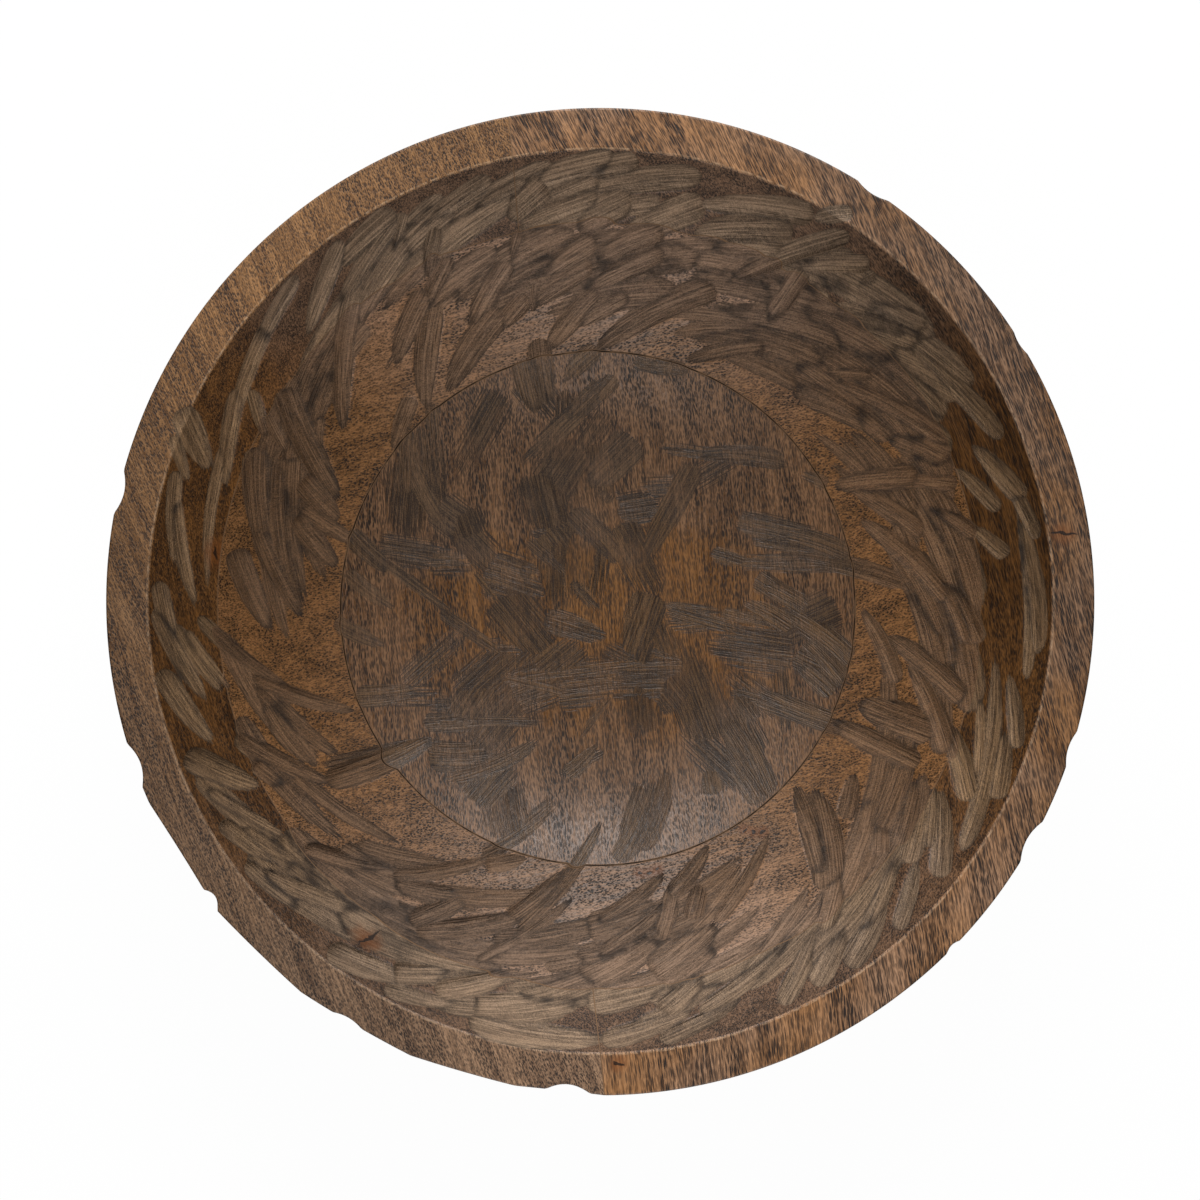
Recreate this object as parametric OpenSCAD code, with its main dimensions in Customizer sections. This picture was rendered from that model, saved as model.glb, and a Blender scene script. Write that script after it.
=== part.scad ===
// Round dough bowl, glued up from a base board, a middle ring and a rim of two boards.
// The films of glue between the boards are pieces of their own.
// The origin is the centre of the foot, with +Z up out of the hollow.

/* [Bowl] */
// Outside diameter at the rim
rim_d = 300; // [240:1:360]
// Width of the flat band on top of the rim
rim_band_w = 12.8; // [9:0.1:18]
// Diameter of the flat foot
foot_d = 140; // [100:1:180]
// Thickness of the wood under the middle of the hollow
floor_t = 20; // [14:0.5:26]
// Curve of the hollow, where a higher value gives a flatter floor and steeper walls
hollow_curve = 3.7; // [2.4:0.1:5]
// Curve of the outside, where a higher value gives a fuller swell above the foot
outside_curve = 2.2; // [1.6:0.1:3]

/* [Boards and glue] */
// Thickness of the base board
base_board_t = 29.8; // [27:0.1:40]
// Thickness of the board that the middle ring is cut from
middle_board_t = 29.8; // [20:0.1:40]
// Thickness of the two boards of the rim
rim_board_t = 29.8; // [20:0.1:40]
// Thickness of each film of glue
glue_t = 0.3; // [0.1:0.05:0.6]
// Distance from the bowl's axis to the edge joint of the two rim boards
edge_joint_offset = 13.6; // [0:0.1:60]
// Turn of the edge joint about the bowl's axis, in degrees
edge_joint_turn = 5.6; // [-30:0.1:30]

/* [Rim nicks] */
// Lean of the nicks from upright, in degrees, so that they fade out down the wall
nick_lean = 11; // [4:1:18]

/* [Hidden] */
// Nicks that the gouge left in the rim's outer edge: the turn round the rim in degrees,
// the width as a share of the rim's diameter and the depth as a share of the rim's band
nick_shares = [
    [31.5, 0.026, 0.06],
    [56, 0.036, 0.11],
    [166.5, 0.044, 0.14],
    [198.5, 0.046, 0.17],
    [212, 0.13, 0.09],
    [217.5, 0.03, 0.22],
    [238.5, 0.046, 0.18],
    [266, 0.052, 0.24],
    [315, 0.018, 0.06],
    [330.5, 0.046, 0.135],
    [342, 0.036, 0.09]
];
// How far a cutting box runs past what it cuts
overrun = 2;
// Straight steps in each curve of a board's section, and of a film's
board_steps = 14;
film_steps = 1;
$fn = 180;

rim_r = rim_d / 2;
hollow_r = rim_r - rim_band_w;
foot_r = foot_d / 2;
lower_film_z = base_board_t;
middle_z = lower_film_z + glue_t;
upper_film_z = middle_z + middle_board_t;
rim_z = upper_film_z + glue_t;
bowl_h = rim_z + rim_board_t;
hollow_depth = bowl_h - floor_t;
joint_left_x = -edge_joint_offset - glue_t / 2;
joint_right_x = -edge_joint_offset + glue_t / 2;

// Height of the hollow's surface at a radius, and the radius at a height
function hollow_height(r) = floor_t + hollow_depth * pow(r / hollow_r, hollow_curve);
function hollow_radius(z) = hollow_r * pow(max(z - floor_t, 0) / hollow_depth, 1 / hollow_curve);

// Height of the outside at a radius, and the radius at a height
function outside_height(r) = bowl_h * pow((r - foot_r) / (rim_r - foot_r), outside_curve);
function outside_radius(z) = foot_r + (rim_r - foot_r) * pow(z / bowl_h, 1 / outside_curve);

// Evenly spaced values from one end of a curve to the other
function steps(from, to, count) = [for (i = [0:count]) from + (to - from) * i / count];

// Half section of the bowl between two heights, up the hollow and down the outside
function layer_section(low, high, count) = concat(
    [for (r = steps(hollow_radius(low), hollow_radius(high), count)) [r, hollow_height(r)]],
    [for (r = steps(outside_radius(high), outside_radius(low), count)) [r, outside_height(r)]]
);

// A round layer of the bowl between two heights
module layer(low, high, count) {
    rotate_extrude() polygon(layer_section(low, high, count));
}

// A round groove down the outer edge of the rim
module rim_nick(turn, width, depth) {
    nick_r = (width * width / 4 + depth * depth) / (2 * depth);
    rotate([0, 0, turn])
        translate([rim_r + nick_r - depth, 0, bowl_h])
            rotate([0, nick_lean, 0])
                cylinder(r = nick_r, h = 2 * rim_board_t, center = true);
}

// The whole rim with its nicks, before it is parted along the edge joint
module rim_ring() {
    difference() {
        layer(rim_z, bowl_h, board_steps);
        for (nick = nick_shares) {
            rim_nick(nick[0], nick[1] * rim_d, nick[2] * rim_band_w);
        }
    }
}

// The part of the rim that lies in a box turned to the edge joint
module rim_part(left, right, front, back) {
    intersection() {
        rim_ring();
        rotate([0, 0, edge_joint_turn])
            translate([left, front, rim_z - overrun])
                cube([right - left, back - front, rim_board_t + 2 * overrun]);
    }
}

module base_board() {
    color("#5f432e") rotate_extrude()
        polygon(concat(layer_section(0, lower_film_z, board_steps), [[0, 0]]));
}

module lower_glue_film() {
    color("#241810") layer(lower_film_z, middle_z, film_steps);
}

module middle_ring() {
    color("#6a4a30") layer(middle_z, upper_film_z, board_steps);
}

module upper_glue_film() {
    color("#241810") layer(upper_film_z, rim_z, film_steps);
}

module rim_board_left() {
    color("#82592f") rim_part(-rim_d, joint_left_x, -rim_d, rim_d);
}

module rim_board_right() {
    color("#75543a") rim_part(joint_right_x, rim_d, -rim_d, rim_d);
}

module rim_joint_glue_back() {
    color("#241810") rim_part(joint_left_x, joint_right_x, 0, rim_d);
}

module rim_joint_glue_front() {
    color("#241810") rim_part(joint_left_x, joint_right_x, -rim_d, 0);
}

base_board();
lower_glue_film();
middle_ring();
upper_glue_film();
rim_board_left();
rim_board_right();
rim_joint_glue_back();
rim_joint_glue_front();
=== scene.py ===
# %% [markdown]
# # A gouged dough bowl
# The bowl is glued up from three layers of board, turned to a round shape and then hollowed by hand
# with a gouge. The CAD frame gives the boards and the films of glue between them. This lesson carves
# the same bowl in Geometry Nodes, saws it into the boards of the frame, and paints the wood.

# %% Load the frame
import math
import random

import bmesh
import bpy
from mathutils import Color, Matrix, Vector


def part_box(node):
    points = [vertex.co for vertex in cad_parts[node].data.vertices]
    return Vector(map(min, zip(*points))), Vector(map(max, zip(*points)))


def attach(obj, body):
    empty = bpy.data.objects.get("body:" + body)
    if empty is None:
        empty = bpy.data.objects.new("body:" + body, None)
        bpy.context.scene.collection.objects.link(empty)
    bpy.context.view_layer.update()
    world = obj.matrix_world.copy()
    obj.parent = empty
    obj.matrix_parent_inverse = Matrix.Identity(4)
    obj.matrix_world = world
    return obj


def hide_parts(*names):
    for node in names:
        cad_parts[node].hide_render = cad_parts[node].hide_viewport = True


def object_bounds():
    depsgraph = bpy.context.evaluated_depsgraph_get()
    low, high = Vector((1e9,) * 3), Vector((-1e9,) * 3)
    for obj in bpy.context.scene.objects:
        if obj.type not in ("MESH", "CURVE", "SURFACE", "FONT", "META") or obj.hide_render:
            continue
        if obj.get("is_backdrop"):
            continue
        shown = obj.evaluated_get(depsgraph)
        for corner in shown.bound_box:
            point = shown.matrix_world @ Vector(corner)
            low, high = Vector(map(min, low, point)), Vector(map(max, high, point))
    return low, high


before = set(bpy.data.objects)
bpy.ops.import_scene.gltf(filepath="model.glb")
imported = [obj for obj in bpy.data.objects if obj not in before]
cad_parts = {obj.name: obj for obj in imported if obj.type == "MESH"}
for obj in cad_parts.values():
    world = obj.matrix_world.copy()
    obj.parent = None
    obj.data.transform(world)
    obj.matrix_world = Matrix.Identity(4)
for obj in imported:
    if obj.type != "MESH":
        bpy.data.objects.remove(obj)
cad_low, cad_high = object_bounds()
print("CAD box", [round(v, 4) for v in (*cad_low, *cad_high)])

# %% [markdown]
# The section of the bowl is the one that the boards were cut to. What the frame can tell, such as
# the height of a glue line, is read from it, and the rest is given here in metres.

# %% Sizes of the bowl
MM = 0.001
RIM_R = min(cad_high.x, cad_high.y)
BOWL_H = cad_high.z
BAND_W = 12.8 * MM
HOLLOW_R = RIM_R - BAND_W
FOOT_R = 70 * MM
FLOOR_T = 20 * MM
HOLLOW_CURVE = 3.7
OUTSIDE_CURVE = 2.2
NICK_LEAN = math.radians(11)
JOINT_OFFSET = 13.6 * MM
JOINT_TURN = math.radians(5.6)
GLUE_T = 0.3 * MM
LOWER_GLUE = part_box("lower_glue_film")
UPPER_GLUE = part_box("upper_glue_film")
print("rim radius", RIM_R, "height", BOWL_H, "glue lines at", LOWER_GLUE[0].z, UPPER_GLUE[0].z)

# %% [markdown]
# The camera looks almost straight down into the bowl, as in the photograph, from about 1.6 m. The
# rim's radius there is a known share of the picture's width, and the lens follows from that share, so
# it holds at any size of the render.

# %% Camera
CAMERA_AIM = Vector((-0.3 * MM, -0.1 * MM, BOWL_H))
CAMERA_BACK = Vector((-0.0157, -0.043, 1)).normalized()
CAMERA_FAR = 1.6
RIM_SHARE = 494.2 / 1200
SENSOR = 36.0
camera = bpy.data.objects.new("camera", bpy.data.cameras.new("camera"))
bpy.context.collection.objects.link(camera)
across_view = Vector((0, 1, 0)).cross(CAMERA_BACK).normalized()
up_view = CAMERA_BACK.cross(across_view)
turn = Matrix((across_view, up_view, CAMERA_BACK)).transposed()
camera.matrix_world = Matrix.Translation(CAMERA_AIM + CAMERA_BACK * CAMERA_FAR) @ turn.to_4x4()
camera.data.sensor_width = SENSOR
camera.data.lens = SENSOR * RIM_SHARE * CAMERA_FAR / RIM_R
bpy.context.scene.camera = camera
bpy.context.scene.view_settings.view_transform = "Standard"
print("lens", round(camera.data.lens, 1))

# %% [markdown]
# Node trees are written as sums. A wire is one socket of a tree: arithmetic on it adds Math nodes,
# and its add method makes any other node.

# %% Wires
class Wire:
    """One socket of a node tree, or only the tree where nothing is made yet."""

    def __init__(self, tree, socket=None):
        self.tree = tree
        self.socket = socket

    def add(self, kind, settings=None, sockets=None, out=0):
        """Makes a node: first its settings, then the values or links of its sockets."""
        node = self.tree.nodes.new(kind)
        for name, value in (settings or {}).items():
            setattr(node, name, value)
        for name, value in (sockets or {}).items():
            for one in value if isinstance(value, list) else [value]:
                if isinstance(one, Wire):
                    self.tree.links.new(one.socket, node.inputs[name])
                else:
                    node.inputs[name].default_value = one
        return node if out is None else Wire(self.tree, node.outputs[out])

    def also(self, out):
        """Another output of the same node."""
        return Wire(self.tree, self.socket.node.outputs[out])

    def math(self, operation, *values):
        return self.add("ShaderNodeMath", {"operation": operation}, dict(enumerate(values)))

    def apply(self, operation):
        """A function of one value, such as its cosine."""
        return self.math(operation, self)

    def exceeds(self, other):
        """1 where this value is the greater one."""
        return self.math("GREATER_THAN", self, other)

    def vector(self, operation, *values, out=0):
        return self.add("ShaderNodeVectorMath", {"operation": operation}, dict(enumerate(values)), out)

    def __add__(self, other):
        return self.math("ADD", self, other)

    def __sub__(self, other):
        return self.math("SUBTRACT", self, other)

    def __rsub__(self, other):
        return self.math("SUBTRACT", other, self)

    def __mul__(self, other):
        return self.math("MULTIPLY", self, other)

    def __truediv__(self, other):
        return self.math("DIVIDE", self, other)

    def __rtruediv__(self, other):
        return self.math("DIVIDE", other, self)

    def __pow__(self, other):
        return self.math("POWER", self, other)

    __radd__ = __add__
    __rmul__ = __mul__

    def least(self, other):
        return self.math("MINIMUM", self, other)

    def most(self, other):
        return self.math("MAXIMUM", self, other)

    def ease(self, start, end):
        """0 at start and 1 at end, with soft ends."""
        values = {"Value": self, "From Min": start, "From Max": end}
        return self.add("ShaderNodeMapRange", {"interpolation_type": "SMOOTHSTEP"}, values)

    def scaled(self, value):
        """A vector times a number."""
        return self.add("ShaderNodeVectorMath", {"operation": "SCALE"}, {0: self, "Scale": value})

    def parts(self):
        """The three parts of a vector."""
        split = self.add("ShaderNodeSeparateXYZ", sockets={0: self})
        return split, split.also(1), split.also(2)

    def joined(self, x, y, z=0.0):
        return self.add("ShaderNodeCombineXYZ", sockets={0: x, 1: y, 2: z})


print("wires ready")

# %% [markdown]
# The gouge marks are the face of this bowl. Each is one push of the tool: it enters at one end, is
# deepest a third of the way along, and leaves in a point. The marks run round the wall and drift
# down it. Each row gives the turn round the bowl in degrees and the radius in millimetres where a
# mark starts, the same where it ends, and its width in millimetres.

# %% Marks on the wall of the rim boards
RIM_MARKS = [
    (-10.5, 132.3, 12, 130.4, 3.6), (-7, 134, 11.5, 131, 5.8), (8, 134.5, 22, 128, 4),
    (22, 132.5, 40.5, 123.3, 5.4), (13.5, 132.8, 23, 124.6, 5.8), (40, 130.8, 50, 123.6, 5.6),
    (40.5, 126.8, 53.2, 114.7, 5.4), (49.8, 131.2, 51.9, 122.3, 4), (51.3, 132, 60.8, 119, 5.2),
    (55.7, 135, 70, 105.5, 5.8), (57, 140.8, 61, 134, 4.6), (61, 134.5, 76.5, 126.3, 5.4),
    (62.5, 128.8, 76, 118.2, 8), (62.5, 123, 74, 115.5, 5.6), (76.5, 133.4, 93, 126.6, 5.4),
    (85, 134.5, 94, 131, 5), (85.5, 125.8, 94, 117.6, 8), (6.5, 126, 12, 117.5, 5),
    (13, 126, 21, 118, 4.6), (88, 134.5, 101.3, 129.5, 6), (99.5, 131.2, 109.3, 126.5, 3.6),
    (97.4, 129.8, 103.5, 122.3, 8), (90, 130.5, 98, 125, 6.5), (90, 125.3, 102.3, 119, 6),
    (104.5, 133.5, 118.3, 126.3, 4.2), (113.4, 126.3, 117.8, 114.8, 5), (117.8, 134.2, 128.2, 130.5, 6),
    (125.6, 135, 137.5, 122.3, 5), (116.8, 133, 122.6, 121, 3.8), (118, 132.6, 132.5, 120.3, 5.6),
    (128, 122.8, 145.5, 97, 6.6), (133, 135.4, 147.5, 128.8, 4), (140, 132.3, 158, 123.5, 4.2),
    (149.5, 128.8, 163, 120.8, 5), (157, 125, 178, 120.9, 3.6), (155.4, 139.8, 161.4, 126.6, 8.4),
    (159, 139, 164, 130.8, 4), (163, 135, 175.5, 130.4, 4.3), (166, 133.8, 181, 123.8, 4.6),
    (148.6, 125.6, 153.7, 114.8, 4.2), (177.5, 134.5, 192, 128.5, 5.4), (189, 135.5, 200.2, 126, 6.6),
    (181, 135.2, 194, 124.4, 6), (183.2, 129.9, 193.4, 119.5, 4.4), (184, 127.6, 193, 117, 4.2),
    (182, 123.6, 196, 98, 4.8), (200.4, 134.6, 208.4, 119.2, 8.4), (205.2, 133, 217, 120, 4.6),
    (210.2, 133.6, 220, 126.5, 5), (216.5, 134, 227, 129.8, 5), (218, 133.2, 235, 118, 6.8),
    (232, 134.5, 243, 129.6, 6.4), (240.8, 134.9, 252.5, 129.7, 4), (240.8, 129.7, 248.5, 122, 6),
    (247, 129.2, 257, 117.2, 6), (252.3, 131, 268.3, 121.2, 8.6), (252.5, 133.6, 271, 133.6, 6.4),
    (270, 134, 283, 127.6, 4.8), (277.6, 134.8, 289.6, 128.7, 3.8), (283.6, 129.2, 305, 116, 4.3),
    (278.5, 126.8, 287, 117.5, 6.6), (294, 134.6, 304, 120, 5), (299, 134, 309, 122, 6),
    (304, 134.5, 314, 126, 6), (307.8, 130.2, 321.2, 118.3, 4.8), (312, 134.8, 321.2, 125.2, 4.5),
    (320.7, 133.3, 331.4, 120.2, 6), (325.2, 133.9, 353, 122.4, 5.2), (333.3, 134.6, 342.2, 130, 6),
    (340.4, 134.6, 350.2, 127.4, 4.5), (331.6, 128.6, 341.5, 113.8, 7), (335, 127.8, 347, 120.2, 3.6),
    (323.4, 126, 331.3, 118, 5),
]
print(len(RIM_MARKS), "marks on the rim boards")

# %% Marks on the wall of the middle ring
MIDDLE_MARKS = [
    (58.5, 121.3, 59.4, 101.3, 7.6), (24, 119.5, 47, 98.9, 6), (40, 111.4, 47, 100, 4.4),
    (36, 101.5, 50, 93, 4.5), (48, 93.6, 64, 88.6, 4.4), (57, 98.3, 70.5, 82.8, 5.6),
    (10.2, 118.3, 18.2, 105.2, 5.3), (18.5, 117, 23.5, 100, 5), (22.5, 117, 31.2, 105, 9),
    (21.8, 108, 27.5, 83.3, 8), (0, 109.8, 18.7, 86.8, 6.5), (12.5, 104, 25.5, 88, 6),
    (69.8, 106, 91, 80.8, 7.6), (80.2, 118, 91.5, 107.5, 7), (79, 112, 93, 99, 7),
    (84, 99, 95, 89, 6), (-6, 118, 5.5, 108, 6), (113.3, 117, 121, 106, 5.4),
    (119, 111.3, 130.2, 99, 6.6), (118.5, 107.5, 131, 82.6, 7), (145.6, 118.2, 157.5, 88, 9),
    (150.5, 118, 154, 108, 4), (155.3, 116.3, 171.5, 104.6, 8), (167, 109, 182, 92.8, 5.4),
    (157, 101, 161.5, 86, 8), (161.5, 99, 165, 78, 5), (163.5, 99, 171, 83, 7),
    (171.4, 114, 184.3, 102.5, 7), (102.2, 117.8, 105.4, 107, 3.6), (104.3, 111.4, 114.4, 96.2, 7),
    (90, 113.5, 101, 103, 7), (91, 107, 103, 97, 7), (90, 99, 101, 83, 6.6), (101, 103, 102.5, 95, 3.6),
    (103, 100, 109.5, 93, 6), (108, 98, 125, 82.8, 8), (131.5, 88.2, 142.5, 81.2, 5),
    (200, 119.5, 213.5, 100, 6), (204.6, 117.3, 211, 111.3, 5), (208.4, 108.2, 230, 96.4, 4.3),
    (212.8, 101.2, 218.4, 66, 7.4), (191.8, 110, 203, 83, 4.7), (219.2, 118.8, 234, 102.4, 5.7),
    (232, 106.5, 248, 84, 4.4), (233, 107.4, 246, 98.8, 5), (240.7, 116, 257.5, 98, 6.6),
    (250.4, 117.2, 265, 91.6, 4.2), (254, 101, 263, 83, 5), (239, 115, 246, 99, 6.4),
    (256, 104, 271, 67, 4.6), (246.5, 88, 254, 82, 5), (278.5, 116.6, 290.5, 106.2, 14),
    (269, 109.8, 285.5, 92.8, 5.4), (284, 93.5, 295, 82.3, 5.2), (280.5, 106, 286, 88, 6),
    (290.2, 104.8, 307, 88.8, 4), (286.5, 102, 290.3, 92, 6.4), (304.3, 122.2, 314, 108, 6.6),
    (309, 114, 320, 88.5, 10), (310, 110, 318, 83.5, 8), (318, 116, 323, 109, 6.6),
    (319.3, 101.5, 327, 95.6, 5), (337, 117.2, 350.2, 98.5, 6.4), (333.5, 111, 334, 81, 7.4),
    (339.2, 111.5, 339.8, 87, 10), (345.3, 117.5, 354.5, 91.5, 7.4), (345.7, 96.8, 360, 82.8, 5),
    (353.6, 115.4, 366, 105.8, 5.6), (321, 119, 331, 112.4, 6), (269.3, 99.5, 284, 86, 5),
]
print(len(MIDDLE_MARKS), "marks on the middle ring")

# %% Marks low on the wall, on the base board
BASE_MARKS = [
    (4, 97, 16, 60, 6), (11.5, 81, 23.7, 60.3, 7), (28.2, 82.2, 33.6, 76.8, 4), (38, 75, 58, 57, 6),
    (69, 80.4, 82, 77.4, 4), (0, 66.5, 9.6, 51, 6), (85.5, 73.5, 91, 65, 5), (136.7, 81.3, 151, 68, 5.4),
    (129, 83, 135, 72.3, 4), (140.5, 75, 147, 60, 3.6), (143, 73, 153, 52, 6), (102.5, 87, 104, 66, 7),
    (106.5, 82, 107, 64.5, 9), (90, 69, 104, 55, 6), (94, 63, 109.8, 51.4, 5), (90, 82, 98.5, 73, 6),
    (200.2, 81.2, 204.6, 62, 6.4), (245, 86, 258.4, 62.2, 4.4), (221, 70.6, 234, 56.5, 9),
    (229.5, 70.5, 246, 45, 6), (215.4, 62.5, 226.5, 48.5, 5), (274.4, 80, 288, 57, 6.6),
    (279.3, 77, 293.8, 55, 7.6), (310.4, 80.2, 313, 59, 8), (302, 69, 305, 61, 6), (313, 80, 321, 54, 6),
    (333.8, 82, 332, 56, 7), (340.2, 79, 346, 63.3, 7), (343.2, 80.6, 351, 65.6, 7),
    (348, 81.4, 360, 57.2, 8), (324.6, 61, 328.5, 51, 6), (354, 62, 363, 46, 6), (259.3, 53.6, 270, 43, 5),
    (163, 82, 170, 66, 6), (172, 80, 180, 64, 5), (183, 83, 190, 68, 5),
]
print(len(BASE_MARKS), "marks low on the wall")

# %% [markdown]
# On the floor the gouge was pushed straight, in from the walls. These rows give x and y in
# millimetres at both ends of a mark, and its width.

# %% Marks on the floor
FLOOR_MARKS = [
    (3.5, 72, -24, 46.5, 8), (11, 78, 28, 74, 5), (12, 54, -4, 38, 13), (31, 46, 13, 13, 9),
    (20, 51, 62, 45, 5), (-8, 32, 9, 14, 11), (-9, 10, 1, -1, 5), (-17, -3, 3, -9, 9),
    (17, 5, 10, -16, 13), (16, -13, 29, -17, 4), (21, 1, 41, -1, 4), (-33, -23, 28, -16, 6),
    (80, 14, 37, 15, 7), (49, 22, 79, 17, 6), (50, 10, 66, -1, 8), (39, -1, 58, -6, 5),
    (62, -15, 80, -24, 9), (50, -28.5, 86, -41.5, 7), (42, -26, 70, -33, 5), (41, -35, 55, -58, 9),
    (-46, -35.5, -17, -35.5, 6), (-52, -47, -28.5, -46, 7), (-48, -54, -27, -51.5, 3.5),
    (-86, -50, -49, -41, 6), (-50, -1, -26, -17, 5), (-39, 11.5, -30, 1, 3.5), (-22, 22, -6, 8, 6),
    (-75, 20, -41, -5, 5), (44, 28, 75, 21, 9), (36, 18, 50, 14, 6), (22, 0, 50, -8, 6),
    (-55, -36, -32, -35.5, 7), (14, -55, 6, -79, 6), (21, -58, 12, -78, 6), (-14, -61, -32, -75, 4.5),
    (4, -28, -6, -41, 4), (2, -45, -13, -53, 4), (-31, -21, 1, -29, 6),
]
print(len(FLOOR_MARKS), "marks on the floor")

# %% [markdown]
# Each mark becomes one point that carries what the carving needs: a vector along the mark that
# measures 1 at its far end, a vector across it that measures 1 at its edge, its depth, its bend, the
# place where it is deepest and its tone. A mark on the wall bends with the wall, so the bend comes
# from the turn and the radius half way. Chance varies the depth, that place and the tone a little.

# %% Marks as points
DEPTH_SHARE = 0.27
DEEPEST = 1.9
BASE_DEPTH_SHARE = 0.08
FLOOR_DEPTH_SHARE = 0.04
DEPTH_CHANCE = (0.8, 1.2)
SIDE_SPREAD = 1.02
END_SPREAD = 1.3
SPREAD_POWER = 3
MARK_SPREAD = 1.15
PEAKS = (0.2, 0.38)
WALL_TONE = 0.7
FLOOR_TONE = 0.3
TONE_SPREAD = 0.25
draw = random.Random(17)


def polar(turn_deg, radius):
    turned = math.radians(turn_deg)
    return Vector((math.cos(turned), math.sin(turned), 0)) * radius * MM


def mark(start, end, middle, width, tone, depth_share=DEPTH_SHARE):
    """What the carving needs to know of one mark, in metres."""
    run = end - start
    side = Vector((-run.y, run.x, 0)).normalized()
    half = width * MM / 2
    return {
        "start": start,
        "along": run / run.length_squared,
        "across": side / half,
        "bend": (middle - (start + end) / 2).dot(side) / half,
        "depth": min(width * depth_share, DEEPEST) * MM * draw.uniform(*DEPTH_CHANCE),
        "peak": draw.uniform(*PEAKS),
        "tone": tone * (1 + draw.uniform(-TONE_SPREAD, TONE_SPREAD)),
    }


def wall_mark(row, tone, depth_share=DEPTH_SHARE, spread=MARK_SPREAD):
    turn_a, r_a, turn_b, r_b, width = row
    middle = polar((turn_a + turn_b) / 2, (r_a + r_b) / 2)
    return mark(polar(turn_a, r_a), polar(turn_b, r_b), middle, width * spread, tone, depth_share)


def floor_mark(row, tone):
    start = Vector((row[0], row[1], 0)) * MM
    end = Vector((row[2], row[3], 0)) * MM
    return mark(start, end, (start + end) / 2, row[4], tone, FLOOR_DEPTH_SHARE)


print("marks up to", DEEPEST, "mm deep")

# %% Points that carry the marks
def points_object(name, rows):
    """A mesh of points with an attribute for each value of the rows, kept out of the scene."""
    mesh = bpy.data.meshes.new(name)
    mesh.from_pydata([row["start"] for row in rows], [], [])
    for key, value in rows[0].items():
        kind = "FLOAT_VECTOR" if isinstance(value, Vector) else "FLOAT"
        layer = mesh.attributes.new(key, kind, "POINT")
        for item, row in zip(layer.data, rows):
            if kind == "FLOAT":
                item.value = row[key]
            else:
                item.vector = row[key]
    return bpy.data.objects.new(name, mesh)


def rim_spread(row):
    """How much broader a mark of the rim boards is than its row says, more at the far and near end."""
    endward = abs(math.sin(math.radians((row[0] + row[2]) / 2)))
    return SIDE_SPREAD + (END_SPREAD - SIDE_SPREAD) * endward ** SPREAD_POWER


hollow_marks = [wall_mark(row, WALL_TONE, spread=rim_spread(row)) for row in RIM_MARKS]
hollow_marks += [wall_mark(row, WALL_TONE) for row in MIDDLE_MARKS]
hollow_marks += [wall_mark(row, (WALL_TONE + FLOOR_TONE) / 2, BASE_DEPTH_SHARE) for row in BASE_MARKS]
hollow_marks += [floor_mark(row, FLOOR_TONE) for row in FLOOR_MARKS]
print(len(hollow_marks), "marks placed by hand")

# %% [markdown]
# Between these marks lie others that can't be told apart in the photograph. They are drawn at random
# from the fixed seed, less deep, and keep out of the patches of the wall that the tool left bare. On
# the floor they are broad scrapes. A bare patch is given by its turn in degrees, and by its radius and
# its reach in millimetres.

# %% Marks that fill the gaps
BARE_PATCHES = [
    (163, 126, 10), (169, 124, 10), (175, 121, 10), (181, 121, 9), (152, 131, 9), (146, 120, 10),
    (110, 127, 9), (87, 119, 8), (67, 133, 7), (5, 121, 10), (-2, 121, 10), (-9, 121, 10), (341, 117, 8),
    (37, 129, 9), (209, 94, 14), (223, 103, 14), (184, 91, 14), (129, 106, 14), (143, 95, 14),
    (110, 97, 12), (20, 116, 8), (324, 94, 12), (250, 107, 10), (300, 100, 10), (350, 104, 9),
    (344, 99, 9),
]
BARE_FLOOR = [
    (250, 51, 16), (259, 63, 14), (294, 47, 11), (185, 33, 11), (13, 26, 10), (336, 39, 10), (67, 58, 13),
    (36, 46, 12),
]
SIDE_WALL_HALF = 62 * MM
SIDE_WALL_R = 113 * MM
FILL_TRIES = 190
FILL_R = (100, 134)
FILL_TURN = (12, 30)
FILL_DROP = (6, 16)
FILL_WIDTH = (4.5, 10)
FILL_DEPTH_SHARE = 0.1
SCRAPES = 80
SCRAPE_R = (25, 84)
SCRAPE_SLANT = (-60, 40)
SCRAPE_LENGTH = (14, 34)
SCRAPE_TONE = (0.04, FLOOR_TONE)
SCRAPE_WIDTH = (9, 20)
SCRAPE_DEPTH_SHARE = 0.012


def drawn_mark():
    """A mark on the wall at a place by chance, that runs as its neighbours do."""
    turn_a = draw.uniform(0, 360)
    out = draw.uniform(*FILL_R)
    run = draw.uniform(*FILL_TURN)
    return turn_a, out, turn_a + run, out - draw.uniform(*FILL_DROP), draw.uniform(*FILL_WIDTH)


def is_bare(place, patches):
    """Whether the tool left a place alone: in a bare patch, or high on a side wall."""
    if abs(place.y) < SIDE_WALL_HALF and place.length > SIDE_WALL_R:
        return True
    return any((place - polar(turn_deg, r)).length < reach * MM for turn_deg, r, reach in patches)


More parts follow.
